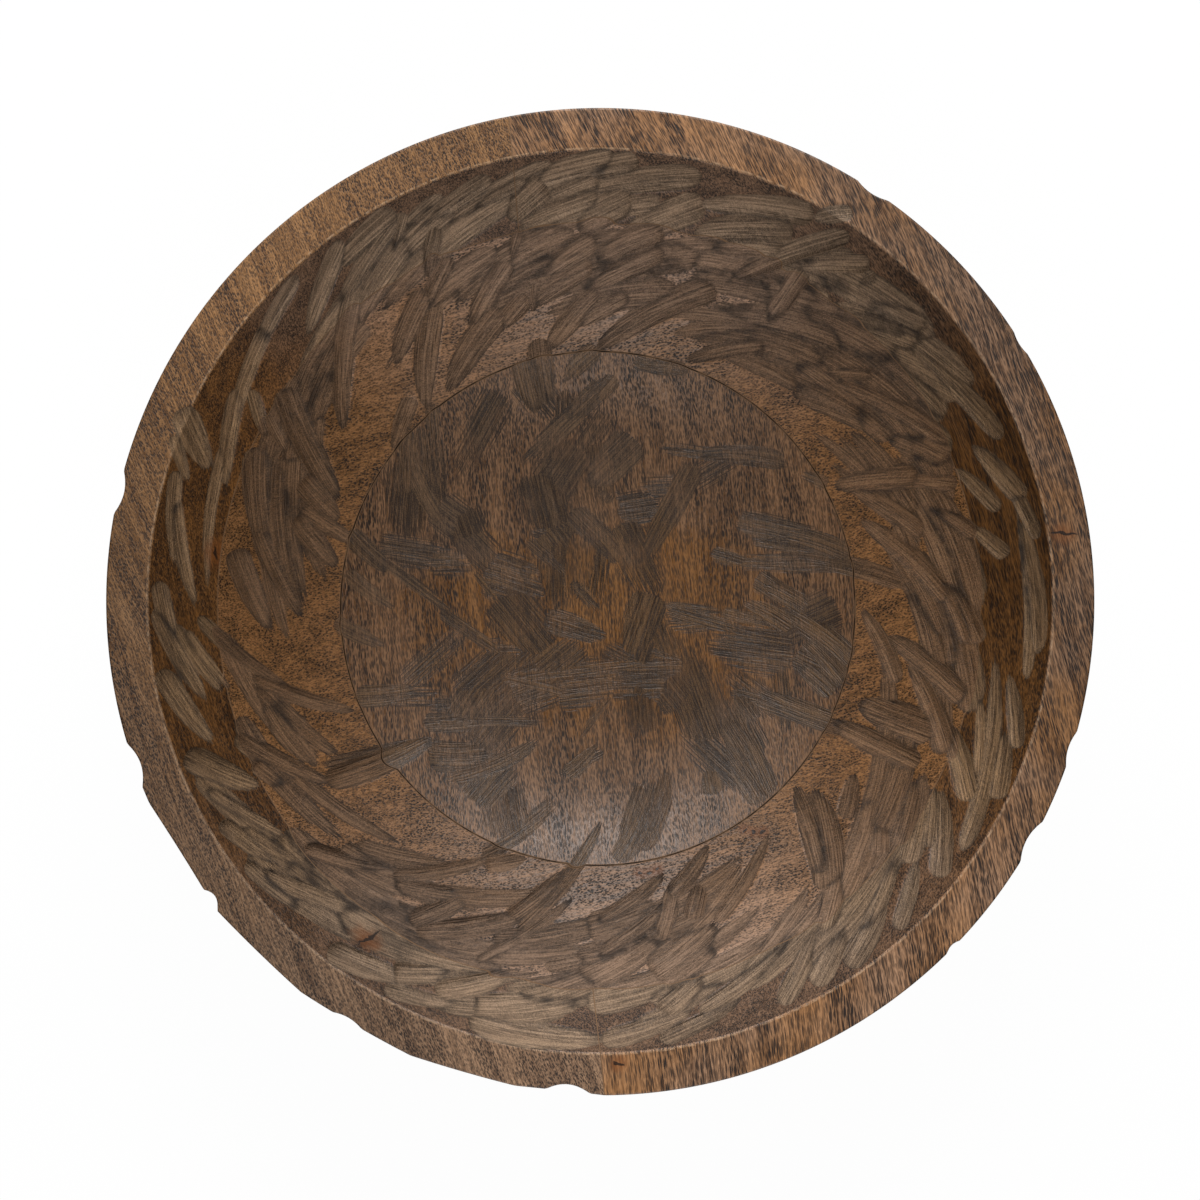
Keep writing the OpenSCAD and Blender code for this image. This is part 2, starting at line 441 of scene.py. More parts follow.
for _ in range(FILL_TRIES):
    row = drawn_mark()
    filling = wall_mark(row, WALL_TONE, FILL_DEPTH_SHARE)
    if not is_bare(polar((row[0] + row[2]) / 2, (row[1] + row[3]) / 2), BARE_PATCHES):
        hollow_marks.append(filling)
for _ in range(SCRAPES):
    start = polar(draw.uniform(0, 360), draw.uniform(*SCRAPE_R))
    heading = math.degrees(math.atan2(-start.y, -start.x)) + draw.uniform(*SCRAPE_SLANT)
    end = start + polar(heading, draw.uniform(*SCRAPE_LENGTH))
    tone = draw.uniform(*SCRAPE_TONE)
    width = draw.uniform(*SCRAPE_WIDTH)
    scrape = mark(start, end, (start + end) / 2, width, tone, SCRAPE_DEPTH_SHARE)
    if not is_bare((start + end) / 2, BARE_FLOOR):
        hollow_marks.append(scrape)
hollow_points = points_object("hollow_marks", hollow_marks)
print(len(hollow_marks), "marks in the hollow")

# %% [markdown]
# The outside was roughed with the same tool. The photograph does not show it, so its marks are
# drawn at random from a fixed seed, in rows that run up the wall. They are placed on the outside
# rolled out flat, where the radius is the way from the middle of the foot.

# %% Marks on the outside
OUTSIDE_WAY = 125
FOOT_WAY = FOOT_R / MM
OUTSIDE_ROWS = 5
MARKS_IN_ROW = 30
OUTSIDE_STRAY = (-0.4, 0.4)
OUTSIDE_START = (-0.1, 0.5)
OUTSIDE_RISE = (22, 42)
OUTSIDE_LEAN = (2, 14)
OUTSIDE_WIDTH = (7, 12)
outside_marks = []
for row_number in range(OUTSIDE_ROWS):
    for number in range(MARKS_IN_ROW):
        turn_a = 360 * (number + draw.uniform(*OUTSIDE_STRAY)) / MARKS_IN_ROW
        low = FOOT_WAY + OUTSIDE_WAY * (row_number + draw.uniform(*OUTSIDE_START)) / OUTSIDE_ROWS
        rise = draw.uniform(*OUTSIDE_RISE)
        lean = draw.uniform(*OUTSIDE_LEAN)
        width = draw.uniform(*OUTSIDE_WIDTH)
        outside_marks.append(wall_mark((turn_a, low + rise, turn_a + lean, low, width), WALL_TONE))
outside_points = points_object("outside_marks", outside_marks)
print(len(outside_marks), "marks on the outside")

# %% [markdown]
# Where a mark of the outside ran out over the rim it left a nick in the rim's edge, and on one side
# the edge was shaved flat. The rows give the turn in degrees, the width and the depth of each nick
# in millimetres.

# %% Nicks in the rim
RIM_NICKS = [
    (31.5, 7.8, 0.6), (56.4, 11, 1.1), (167.4, 13.2, 1.7), (199.6, 13.8, 2.0), (212, 40, 1.6),
    (217.5, 9, 2.7), (239, 15, 2.2), (266, 15.6, 3.0), (315.4, 5.4, 0.8), (330.7, 13.8, 1.75),
    (342.4, 11, 1.15), (226, 46, 1.2), (240, 50, 1.25), (254, 46, 1.2), (264, 34, 1.05),
]
nick_rows = []
for turn_deg, width, depth in RIM_NICKS:
    reach = width * MM / 2 / RIM_R
    nick_rows.append({"start": polar(turn_deg, 1 / MM), "reach": reach, "depth": depth * MM})
nick_points = points_object("rim_nicks", nick_rows)
print(len(nick_rows), "nicks")

# %% [markdown]
# The carving tree makes the bowl from two round sheets, one for the hollow and the rim's band, one
# for the outside and the foot. Each starts as a square grid that is pulled to a disc, so its rings
# are even and its middle is no pole. A repeat zone takes the marks one by one and keeps the deepest
# cut at each point, as the real tool does, and with it the next deepest, which is level with the
# deepest just where two marks meet.

# %% Helpers of the carving tree
BOW = 4


def named(bench, name, kind="FLOAT_VECTOR"):
    return bench.add("GeometryNodeInputNamedAttribute", {"data_type": kind}, {"Name": name})


def stored(geometry, name, value, kind="FLOAT_VECTOR", domain="POINT"):
    settings = {"data_type": kind, "domain": domain}
    sockets = {"Geometry": geometry, "Name": name, "Value": value}
    return geometry.add("GeometryNodeStoreNamedAttribute", settings, sockets)


def of_mark(marks, field, index, kind):
    settings = {"data_type": kind, "domain": "POINT"}
    sockets = {"Geometry": marks, "Value": field, "Index": index}
    return marks.add("GeometryNodeSampleIndex", settings, sockets)


def repeated(geometry, count, step):
    """Runs step(geometry, number) count times in a repeat zone."""
    first = geometry.add("GeometryNodeRepeatInput", out=None)
    last = geometry.add("GeometryNodeRepeatOutput", out=None)
    first.pair_with_output(last)
    tree = geometry.tree
    first.inputs["Iterations"].default_value = count
    tree.links.new(geometry.socket, first.inputs["Geometry"])
    inner = Wire(tree, first.outputs["Geometry"])
    done = step(inner, Wire(tree, first.outputs["Iteration"]))
    tree.links.new(done.socket, last.inputs["Geometry"])
    return Wire(tree, last.outputs["Geometry"])


def along_across(marks, index, place):
    """Where a place lies on a mark: 0 to 1 along it, and -1 to 1 across it. The bow is 1 half way."""
    start = of_mark(marks, named(marks, "start"), index, "FLOAT_VECTOR")
    away = marks.vector("SUBTRACT", place, start)
    along = of_mark(marks, named(marks, "along"), index, "FLOAT_VECTOR")
    across = of_mark(marks, named(marks, "across"), index, "FLOAT_VECTOR")
    share = marks.vector("DOT_PRODUCT", away, along, out="Value")
    side = marks.vector("DOT_PRODUCT", away, across, out="Value")
    bend = of_mark(marks, named(marks, "bend", "FLOAT"), index, "FLOAT")
    return share, side - bend * BOW * share * (1 - share)


print("helpers ready")

# %% [markdown]
# A cut is deepest along the middle of its mark and comes up in a curve to both sides. The swell
# along the mark falls off to both ends, and a higher power makes an end blunter. Where a cut ends or
# meets its neighbour, a crease is stored, which the finish later darkens as painted shade. The trail
# stored with it tells the finish how far along and how far across its mark each place is.

# %% One cut
HEAD = 4.5
TAIL = 2.0


def cut_depth(marks, index, place):
    share, side = along_across(marks, index, place)
    peak = of_mark(marks, named(marks, "peak", "FLOAT"), index, "FLOAT")
    off = share - peak
    past = off.exceeds(0)
    reach = off.apply("ABSOLUTE") / (peak + past * (1 - 2 * peak))
    swell = 1 - reach ** (HEAD + past * (TAIL - HEAD))
    depth = of_mark(marks, named(marks, "depth", "FLOAT"), index, "FLOAT")
    return depth * (swell - side * side)


print("one cut ready")

# %% All cuts
NEVER = -1.0
# painted shade: these set the soft crease along the cuts' edges that the finish darkens
CREASE_SHADE_SHARE = 0.35
CREASE_SHADE_DEPTHS = (0.1 * MM, 0.9 * MM)
CREASE_SHADE_BLUR = 1


def shaded_creases(sheet, marks):
    """Stores the tone of the deepest mark, and how near its edge lies, blurred to a soft crease of painted
    shade.
    """
    deepest, second, winner = named(sheet, "cut").parts()
    tone = of_mark(marks, named(marks, "tone", "FLOAT"), winner, "FLOAT")
    depth = of_mark(marks, named(marks, "depth", "FLOAT"), winner, "FLOAT")
    outside = deepest.math("LESS_THAN", deepest, 0.0)
    off_edge = deepest.apply("ABSOLUTE").least(deepest - second + outside)
    crease = (off_edge / depth).ease(CREASE_SHADE_SHARE, 0.0) * depth.ease(*CREASE_SHADE_DEPTHS)
    settings = {"data_type": "FLOAT"}
    soft = sheet.add("GeometryNodeBlurAttribute", settings, {"Value": crease, "Iterations": CREASE_SHADE_BLUR})
    sheet = stored(sheet, "tone", tone, "FLOAT")
    return stored(sheet, "crease", soft, "FLOAT")


def carved(sheet, marks, count):
    """Stores the deepest cut, the next deepest and the number of its mark, on points and on faces."""
    nothing = sheet.joined(NEVER, NEVER, NEVER)
    for name, domain in (("cut", "POINT"), ("face_cut", "FACE")):
        sheet = stored(sheet, name, nothing, domain=domain)

    def one_cut(geometry, number):
        for name, domain in (("cut", "POINT"), ("face_cut", "FACE")):
            deepest, second, winner = named(geometry, name).parts()
            new = cut_depth(marks, number, named(geometry, "flat"))
            wins = new.exceeds(deepest)
            second = second.most(deepest.least(new))
            winner = winner + wins * (number - winner)
            kept = geometry.joined(deepest.most(new), second, winner)
            geometry = stored(geometry, name, kept, domain=domain)
        return geometry

    sheet = repeated(sheet, count, one_cut)
    sheet = shaded_creases(sheet, marks)
    winner = named(sheet, "face_cut").parts()[2]
    share, side = along_across(marks, winner, named(sheet, "flat"))
    along = of_mark(marks, named(marks, "along"), winner, "FLOAT_VECTOR")
    across = of_mark(marks, named(marks, "across"), winner, "FLOAT_VECTOR")
    length = sheet.vector("LENGTH", along, out="Value")
    half = sheet.vector("LENGTH", across, out="Value")
    trail = sheet.joined(side / half, share / length, winner)
    return stored(sheet, "trail", trail, domain="CORNER")


print("cuts ready")

# %% [markdown]
# A square grid has rings too: each square round its middle becomes one circle. The outside is seen
# less, so its grid has half as many rings. On the hollow's last ring the points move together in
# pairs, so that they meet the points of the outside and the two sheets can be merged there.

# %% Round sheets
EIGHTH = math.pi / 4
HALF_RING = 0.5
PAIR = 2
PAIR_SHIFT = 0.25


def round_sheet(bench, rings, snap):
    """A grid pulled to a disc, with the direction from the middle and the ring's number stored on it."""
    count = rings * 2 + 1
    sockets = {"Size X": 2.0, "Size Y": 2.0, "Vertices X": count, "Vertices Y": count}
    grid = bench.add("GeometryNodeMeshGrid", sockets=sockets)
    a, b, _ = bench.add("GeometryNodeInputPosition").parts()
    wide = a.apply("ABSOLUTE").exceeds(b.apply("ABSOLUTE"))
    longer = b + wide * (a - b)
    ratio = (a + b - longer) / longer
    ring = longer.apply("ABSOLUTE") * rings
    if snap:
        outer = ring.exceeds(rings - HALF_RING)
        paired = (ratio * rings * (1 / PAIR) + PAIR_SHIFT).apply("FLOOR") * PAIR / rings
        ratio = ratio + outer * (paired - ratio)
    angle = wide * (ratio * (2 * EIGHTH) - 2 * EIGHTH) + (2 * EIGHTH - ratio * EIGHTH)
    sign = longer.apply("SIGN")
    way = bench.joined(angle.apply("COSINE") * sign, angle.apply("SINE") * sign)
    sheet = stored(grid, "way", way)
    return stored(sheet, "ring", ring, "FLOAT")


def nicked(sheet, nicks, count, rim_r):
    """Stores the rim's own radius in the direction of each point, less where a nick is."""
    sheet = stored(sheet, "edge", rim_r, "FLOAT")

    def one_nick(geometry, number):
        middle = of_mark(nicks, named(nicks, "start"), number, "FLOAT_VECTOR")
        near = geometry.vector("DOT_PRODUCT", middle, named(geometry, "way"), out="Value")
        turned = near.least(1.0).apply("ARCCOSINE")
        reach = of_mark(nicks, named(nicks, "reach", "FLOAT"), number, "FLOAT")
        depth = of_mark(nicks, named(nicks, "depth", "FLOAT"), number, "FLOAT")
        share = turned / reach
        dent = depth * (1 - share * share)
        edge = named(geometry, "edge", "FLOAT").least(rim_r - dent)
        return stored(geometry, "edge", edge.least(rim_r), "FLOAT")

    return repeated(sheet, count, one_nick)


print("sheets ready")

# %% [markdown]
# The hollow's rings lie a little closer towards the rim, where the marks are small. On the steep
# wall a cut square to the wood is a longer way straight down, so the cut is stretched by the slope,
# except at the rim's inner edge, which it only chips. Low on the wall the cuts are shallow: in the
# photograph the lower glue line runs through them almost without a step.

# %% The hollow and the rim's band
RING_BIAS = 0.15
RING_POWER = 3
STEEPEST = 2.2
EDGE_EASE = 4 * MM
LOW_DEPTH = 0.35
LOW_FROM = 78 * MM
LOW_TO = 100 * MM


def hollow_sheet(bench, size):
    sheet = round_sheet(bench, size["Hollow rings"] + size["Band rings"], True)
    sheet = nicked(sheet, size["Rim nicks"], len(nick_rows), size["Rim radius"])
    ring = named(bench, "ring", "FLOAT")
    inside = (ring / size["Hollow rings"]).least(1.0)
    radius = size["Hollow radius"] * inside * (1 + RING_BIAS - RING_BIAS * inside ** RING_POWER)
    band = ((ring - size["Hollow rings"]) / size["Band rings"]).most(0.0)
    radius = radius + band * (named(bench, "edge", "FLOAT") - size["Hollow radius"])
    sheet = stored(sheet, "flat", named(bench, "way").scaled(radius))
    sheet = carved(sheet, size["Hollow marks"], len(hollow_marks))
    flat = named(bench, "flat")
    out = (bench.vector("LENGTH", flat, out="Value") / size["Hollow radius"]).least(1.0)
    deep = size["Height"] - size["Floor thickness"]
    curve = size["Hollow curve"]
    height = size["Floor thickness"] + deep * out ** curve
    slope = deep * curve / size["Hollow radius"] * out ** (curve - 1)
    stretch = (slope * slope + 1).apply("SQRT").least(STEEPEST)
    near_edge = out.ease(1 - EDGE_EASE / HOLLOW_R, 1.0)
    stretch = stretch + near_edge * (1 - stretch)
    x, y, _ = flat.parts()
    low_down = LOW_DEPTH + (1 - LOW_DEPTH) * out.ease(LOW_FROM / HOLLOW_R, LOW_TO / HOLLOW_R)
    depth = named(bench, "cut").parts()[0].most(0.0) * low_down
    place = bench.joined(x, y, height - depth * stretch)
    return bench.add("GeometryNodeSetPosition", sockets={"Geometry": sheet, "Position": place})


print("hollow ready")

# %% [markdown]
# The outside starts as the flat foot and climbs from there to the rim. Its cuts are square to the wood,
# so each takes something off the radius and something off the underside. They fade out at the foot and
# at the rim, where the nicks take over. A nick leans, so it gets shallower down the wall.

# %% The outside and the foot
FOOT_RINGS = 30
WAY_BIAS = 0.6
FADE = 8 * MM


def outside_sheet(bench, size):
    rings = (size["Hollow rings"] + size["Band rings"]) / 2
    sheet = round_sheet(bench, rings, False)
    sheet = nicked(sheet, size["Rim nicks"], len(nick_rows), size["Rim radius"])
    ring = named(bench, "ring", "FLOAT")
    foot = (ring / FOOT_RINGS).least(1.0)
    climb = ((ring - FOOT_RINGS) / (rings - FOOT_RINGS)).most(0.0)
    way_out = foot * size["Foot radius"] + climb * (OUTSIDE_WAY * MM)
    sheet = stored(sheet, "flat", named(bench, "way").scaled(way_out))
    sheet = carved(sheet, size["Outside marks"], len(outside_marks))
    rise = climb * (1 + WAY_BIAS - WAY_BIAS * climb)
    swell = size["Rim radius"] - size["Foot radius"]
    curve = size["Outside curve"]
    height = size["Height"] * rise ** curve
    slope = size["Height"] * curve / swell * rise ** (curve - 1)
    radius = foot * size["Foot radius"] + rise * swell
    notch = named(bench, "edge", "FLOAT") - (size["Height"] - height) * math.tan(NICK_LEAN)
    radius = radius.least(notch)
    lean = (slope * slope + 1).apply("SQRT")
    top_way = FOOT_R + OUTSIDE_WAY * MM
    fade = way_out.ease(FOOT_R, FOOT_R + FADE) * way_out.ease(top_way, top_way - FADE)
    depth = named(bench, "cut").parts()[0].most(0.0) * fade
    radius = radius - depth * slope / lean
    x, y, _ = named(bench, "way").scaled(radius).parts()
    place = bench.joined(x, y, height + depth / lean)
    sheet = bench.add("GeometryNodeSetPosition", sockets={"Geometry": sheet, "Position": place})
    return bench.add("GeometryNodeFlipFaces", sockets={"Mesh": sheet})


print("outside ready")

# %% [markdown]
# The tree joins the two sheets at the rim and gives a closed bowl. Its main sizes are inputs, each
# with a name, and the marks come in as three objects of points. The result is turned into a plain
# mesh, and the tree is then no longer needed.

# %% Carving tree
HOLLOW_RINGS = 226
BAND_RINGS = 20
FLOAT = "NodeSocketFloat"
OBJECT = "NodeSocketObject"
CARVING = {
    "Rim radius": (FLOAT, RIM_R),
    "Hollow radius": (FLOAT, HOLLOW_R),
    "Foot radius": (FLOAT, FOOT_R),
    "Height": (FLOAT, BOWL_H),
    "Floor thickness": (FLOAT, FLOOR_T),
    "Hollow curve": (FLOAT, HOLLOW_CURVE),
    "Outside curve": (FLOAT, OUTSIDE_CURVE),
    "Hollow rings": (FLOAT, float(HOLLOW_RINGS)),
    "Band rings": (FLOAT, float(BAND_RINGS)),
    "Hollow marks": (OBJECT, hollow_points),
    "Outside marks": (OBJECT, outside_points),
    "Rim nicks": (OBJECT, nick_points),
    "Wood": ("NodeSocketMaterial", bpy.data.materials.new("green_wood")),
}
SEAM = 0.01 * MM


def carving_tree():
    """The tree of the whole bowl, and the identifier of each of its inputs."""
    tree = bpy.data.node_groups.new("carved_bowl", "GeometryNodeTree")
    tree.interface.new_socket("Geometry", in_out="OUTPUT", socket_type="NodeSocketGeometry")
    tree.interface.new_socket("Geometry", in_out="INPUT", socket_type="NodeSocketGeometry")
    keys = {}
    for label, (kind, _) in CARVING.items():
        keys[label] = tree.interface.new_socket(label, in_out="INPUT", socket_type=kind).identifier
    bench = Wire(tree)
    entry = bench.add("NodeGroupInput")
    size = {label: entry.also(label) for label in CARVING}
    for label, (kind, _) in CARVING.items():
        if kind == OBJECT:
            sockets = {"Object": size[label]}
            size[label] = bench.add("GeometryNodeObjectInfo", sockets=sockets, out="Geometry")
    sheets = [hollow_sheet(bench, size), outside_sheet(bench, size)]
    bowl = bench.add("GeometryNodeJoinGeometry", sockets={"Geometry": sheets})
    bowl = bench.add("GeometryNodeMergeByDistance", sockets={"Geometry": bowl, "Distance": SEAM})
    bowl = bench.add("GeometryNodeSetShadeSmooth", sockets={"Geometry": bowl})
    for name in ("way", "ring", "edge", "flat", "face_cut"):
        bowl = bench.add("GeometryNodeRemoveAttribute", sockets={"Geometry": bowl, "Name": name})
    bowl = bench.add("GeometryNodeRealizeInstances", sockets={"Geometry": bowl})
    bowl = bench.add("GeometryNodeSetMaterial", sockets={"Geometry": bowl, "Material": size["Wood"]})
    bench.add("NodeGroupOutput", sockets={"Geometry": bowl}, out=None)
    return tree, keys


def carve_bowl():
    """The whole bowl as a plain mesh."""
    tree, keys = carving_tree()
    blank = bpy.data.objects.new("blank", bpy.data.meshes.new("blank"))
    bpy.context.collection.objects.link(blank)
    carving = blank.modifiers.new("carving", "NODES")
    carving.node_group = tree
    for label, (_, value) in CARVING.items():
        carving[keys[label]] = value
    graph = bpy.context.evaluated_depsgraph_get()
    whole = bpy.data.meshes.new_from_object(blank.evaluated_get(graph), depsgraph=graph)
    blank.modifiers.clear()
    bpy.data.objects.remove(blank)
    return whole


whole_bowl = carve_bowl()
print("carved", len(whole_bowl.vertices), "points", len(whole_bowl.polygons), "faces")

# %% [markdown]
# The boards were glued before they were carved, so the carved bowl is sawn apart at the glue lines.
# Each board keeps its own side of every mark, and the films of glue follow the carving exactly.

# %% Saw the bowl into boards
SAW_DIRECTION = Vector((math.cos(JOINT_TURN), math.sin(JOINT_TURN), 0))
BACK_DIRECTION = Vector((-math.sin(JOINT_TURN), math.cos(JOINT_TURN), 0))
UP = Vector((0, 0, 1))
LEFT_OF_JOINT = -JOINT_OFFSET - GLUE_T / 2
RIGHT_OF_JOINT = -JOINT_OFFSET + GLUE_T / 2
SAW_REACH = SEAM / 10


def below(z):
    return Vector((0, 0, z)), UP


def above(z):
    return Vector((0, 0, z)), -UP


def left_of(x):
    return SAW_DIRECTION * x, SAW_DIRECTION


def right_of(x):
    return SAW_DIRECTION * x, -SAW_DIRECTION


def saw(name, cuts):
    """Cuts away what lies beyond each plane, and closes the cuts with flat faces."""
    bm = bmesh.new()
    bm.from_mesh(whole_bowl)
    for point, beyond in cuts:
        everything = [*bm.verts, *bm.edges, *bm.faces]
        done = bmesh.ops.bisect_plane(
            bm, geom=everything, plane_co=point, plane_no=beyond, clear_outer=True, dist=SAW_REACH
        )
        open_edges = [e for e in done["geom_cut"] if isinstance(e, bmesh.types.BMEdge)]
        if not open_edges:
            continue
        cap = bmesh.ops.triangle_fill(bm, edges=open_edges, normal=beyond, use_beauty=False)
        for edge in open_edges:
            edge.smooth = False
        for face in cap["geom"]:
            if isinstance(face, bmesh.types.BMFace):
                face.smooth = False
    bmesh.ops.recalc_face_normals(bm, faces=bm.faces)
    mesh = bpy.data.meshes.new(name)
    bm.to_mesh(mesh)
    rough = [e for e in bm.edges if not e.is_manifold]
    triangles = sum(len(f.verts) - 2 for f in bm.faces)
    bm.free()
    piece = bpy.data.objects.new(name, mesh)
    bpy.context.collection.objects.link(piece)
    print(name, triangles, "triangles", len(rough), "open edges")
    return piece


low_a, low_b = LOWER_GLUE[0].z, LOWER_GLUE[1].z
up_a, up_b = UPPER_GLUE[0].z, UPPER_GLUE[1].z
CUTS = {
    "base_board": [below(low_a)],
    "lower_glue_film": [below(low_b), above(low_a)],
    "middle_ring": [below(up_a), above(low_b)],
    "upper_glue_film": [below(up_b), above(up_a)],
    "rim_board_left": [above(up_b), left_of(LEFT_OF_JOINT)],
    "rim_board_right": [above(up_b), right_of(RIGHT_OF_JOINT)],
    "rim_joint_glue_back": [
        above(up_b), left_of(RIGHT_OF_JOINT), right_of(LEFT_OF_JOINT), (Vector(), -BACK_DIRECTION)
    ],
    "rim_joint_glue_front": [
        above(up_b), left_of(RIGHT_OF_JOINT), right_of(LEFT_OF_JOINT), (Vector(), BACK_DIRECTION)
    ],
}
pieces = {node: saw("carved_" + node, cuts) for node, cuts in CUTS.items()}

# %% [markdown]
# The wood is a brown hardwood with open pores. A pore is a fine tube along the grain, so it shows as
# a dark dash where the surface runs with the grain and as a dot on end grain. The pattern is made in
# the solid, on Object coordinates turned to the grain of each board, so both come by themselves.
# First come the small helpers that every finish here shares.

# %% Colours and patterns
NOISE_MEAN = 0.5
SMOOTH = 1.0
PLAIN = 2.0
BUSY = 3.0
PORE_CORE = 0.45
PORE_CHANCE_SOFT = 0.1


def bare_material(name):
    """A material with no nodes in it yet, and a wire to add them with."""
    material = bpy.data.materials.new(name)
    material.use_nodes = True
    material.node_tree.nodes.clear()
    return material, Wire(material.node_tree)


def seen(code):
    """A colour as it is seen, in hexadecimal, turned to the light values that a shader takes."""
    parts = [int(code[i:i + 2], 16) / 255 for i in (0, 2, 4)]
    return (*Color(parts).from_srgb_to_scene_linear(), 1.0)


def blend(bench, share, a, b):
    """A colour between two colours."""
    return bench.add("ShaderNodeMix", {"data_type": "RGBA"}, {0: share, 6: a, 7: b}, 2)


def tinted(bench, colour, saturation=1.0, value=1.0):
    """A colour made warmer or greyer, and lighter or darker."""
    sockets = {"Saturation": saturation, "Value": value, "Color": colour}
    return bench.add("ShaderNodeHueSaturation", sockets=sockets)


def noise(bench, place, size, detail=PLAIN, out="Fac"):
    """Noise whose blobs have the given size along, across and up."""
    sockets = {"Vector": bench.vector("DIVIDE", place, size), "Scale": 1.0, "Detail": detail}
    return bench.add("ShaderNodeTexNoise", sockets=sockets, out=out)


def cloud(bench, where, span, detail=PLAIN):
    """Noise whose blobs have the same span in all directions."""
    return noise(bench, where, (span,) * 3, detail)


def stray(bench, where, span, reach, detail=PLAIN):
    """Noise about zero, which makes a border wander."""
    return (cloud(bench, where, span, detail) - NOISE_MEAN) * reach


def pores(bench, place, size, wide, share):
    """1 in the pores. Size is the room of one pore, wide its half width as a share of the room."""
    sockets = {"Vector": bench.vector("DIVIDE", place, size), "Scale": 1.0}
    cells = bench.add("ShaderNodeTexVoronoi", {"feature": "F1"}, sockets, "Distance")
    chance = cells.also("Color").parts()[0]
    return cells.ease(wide, wide * PORE_CORE) * chance.ease(1 - share, 1 - share + PORE_CHANCE_SOFT)


print("patterns ready")

# %% [markdown]
# The colour is not even, so each board gets a function that gives the saturation of its colours from
# place to place. On the walls the far and near ends are greyer, which is painted sheen. On the floor
# the middle is warm where the finish has worn, and the grey round it is partly worn finish and partly
# painted sheen. A painted map could do the same, but a rule on the solid has no seams.

# %% Where the wood is warm
WARM_SPAN = 28 * MM
BY_CHANCE = (0.3, 0.7)
ALL_OVER = (0.9, 1.08)
SIDES = (0.84, 1.12)
SIDES_FROM_TO = (115 * MM, 45 * MM)
SIDES_STRAY = 60 * MM
FAR_END = (0.86, 1.08)
FAR_FROM_TO = (-130 * MM, 60 * MM)
FAR_STRAY = 100 * MM
WORN_MIDDLE = (0.98, 1.14)
WORN_AT = (6 * MM, -6 * MM)
WORN_HALVES = (58 * MM, 30 * MM)
WORN_FROM_TO = (1.6, 0.5)
WORN_STRAY = 3.0


def between(share, grey, warm):
    """The saturation between that of grey and that of warm wood."""
    return grey + share * (warm - grey)


def all_over(bench, where):
    """Warm and grey wood by chance."""
    return between(cloud(bench, where, WARM_SPAN).ease(*BY_CHANCE), *ALL_OVER)


def grey_sheen_at_ends(bench, where):
    """Warm on the side walls, and grey towards the far and the near end, which is painted sheen."""
    endward = where.parts()[1].apply("ABSOLUTE") + stray(bench, where, WARM_SPAN, SIDES_STRAY)
    return between(endward.ease(*SIDES_FROM_TO), *SIDES)


def far_end(bench, where):
    """Warm towards the far end of the board."""
    farward = where.parts()[1] + stray(bench, where, WARM_SPAN, FAR_STRAY)
    return between(farward.ease(*FAR_FROM_TO), *FAR_END)


def worn_middle_and_sheen(bench, where):
    """Warm in the middle of the floor, where the grey has worn off, and grey towards the walls, partly
    worn finish and partly painted sheen.
    """
    x, y, _ = where.parts()
    x = (x - WORN_AT[0]) / WORN_HALVES[0]
    y = (y - WORN_AT[1]) / WORN_HALVES[1]
    away = x * x + y * y + stray(bench, where, WARM_SPAN / 2, WORN_STRAY, BUSY)
    return between(away.ease(*WORN_FROM_TO), *WORN_MIDDLE)


print("warm places ready")

# %% [markdown]
# Two small knots show in the left wall, each with a dark slit in a reddish spot, and two dark slits on
# the right half of the rim. Beside the lower glue line the tool tore small pits. All are placed in the
# solid. A row gives the turn in degrees and the radius in millimetres, then the turn, half length and
# half width of the slit and the reach of the spot.

# %% Knots and pits
LEFT_KNOTS = [(235.4, 125, 25, 4.2, 0.6, 8), (172.5, 119.5, 105, 2.6, 0.55, 7)]
RIGHT_KNOTS = [(272.2, 140.5, 160, 2.2, 0.5, 4), (8.2, 142, -5, 5, 0.45, 5)]
PITS = [
    (279, 84.4, 20, 0.9, 0.5, 3), (281, 84.8, 0, 1.2, 0.45, 3), (282.8, 84.2, 40, 0.8, 0.5, 3),
    (303.4, 83.5, 30, 1.2, 0.5, 3), (304.6, 85.6, 60, 0.9, 0.6, 3), (306.2, 87.4, 20, 1.3, 0.5, 3),
]
KNOT_SPAN = 3 * MM
SPOT_WOBBLE = 0.8
SLIT_WOBBLE = 5.0
SPOT_EDGE = (1.0, 0.2)
SLIT_EDGE = (1.0, 0.5)
SLIT_INSIDE = (1.2, 1.0)
REDDISH = "74431c"
SLIT_DARK = "160c06"
SPOT_SHARE = 0.6
SLIT_SHARE = 0.9


def knot_masks(bench, where, row):
    """The spot round a knot and the slit in it."""
    turn_deg, r, slit_turn, slit_long, slit_wide, reach = row
    height = FLOOR_T + (BOWL_H - FLOOR_T) * min(1.0, r * MM / HOLLOW_R) ** HOLLOW_CURVE
    middle = polar(turn_deg, r) + Vector((0, 0, height))
    turned_back = (0, 0, -math.radians(slit_turn))
    sockets = {"Vector": bench.vector("SUBTRACT", where, middle), "Rotation": turned_back}
    away = bench.add("ShaderNodeMapping", {"vector_type": "POINT"}, sockets)
    along, across, _ = away.parts()
    ragged = cloud(bench, where, KNOT_SPAN, BUSY)
    uneven = ragged - NOISE_MEAN
    spot = bench.vector("LENGTH", away, out="Value") / (reach * MM) + uneven * SPOT_WOBBLE
    along = along / (slit_long * MM)
    across = across / (slit_wide * MM) + uneven * SLIT_WOBBLE
    slit = (along * along + across * across) * (ragged + NOISE_MEAN)
    return spot.ease(*SPOT_EDGE), slit.ease(*SLIT_EDGE) * spot.ease(*SLIT_INSIDE)


